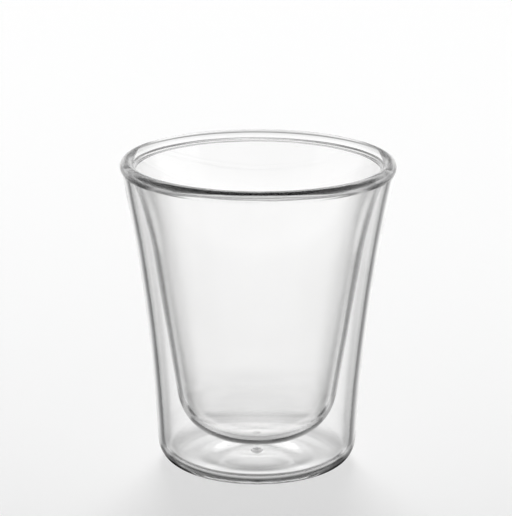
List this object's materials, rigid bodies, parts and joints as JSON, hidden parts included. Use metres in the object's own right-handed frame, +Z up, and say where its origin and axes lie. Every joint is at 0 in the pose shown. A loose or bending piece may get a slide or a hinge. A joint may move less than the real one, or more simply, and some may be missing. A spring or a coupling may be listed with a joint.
{
  "type": "double-walled glass",
  "caption": "Clear double-walled drinking glass: flared outer wall, round-bottomed inner cup, thick fused rim ring and a sealed vent in the pushed-up base. Stands on a flat ring.",
  "frame": {"origin": "centre of the standing ring, on the table", "axes": "+Z up along the glass's axis, from the base to the rim; the glass is round, so X and Y are free"},
  "size_m": [0.0878, 0.0878, 0.1],
  "materials": {
    "wall_glass": "clear colourless blown glass, fire polished",
    "fused_glass": "clear colourless glass, thick and flame fused"
  },
  "bodies": {
    "root": {"outer_wall": "wall_glass", "inner_wall": "wall_glass", "rim_bead": "fused_glass", "vent_seal": "fused_glass"}
  },
  "joints": []
}
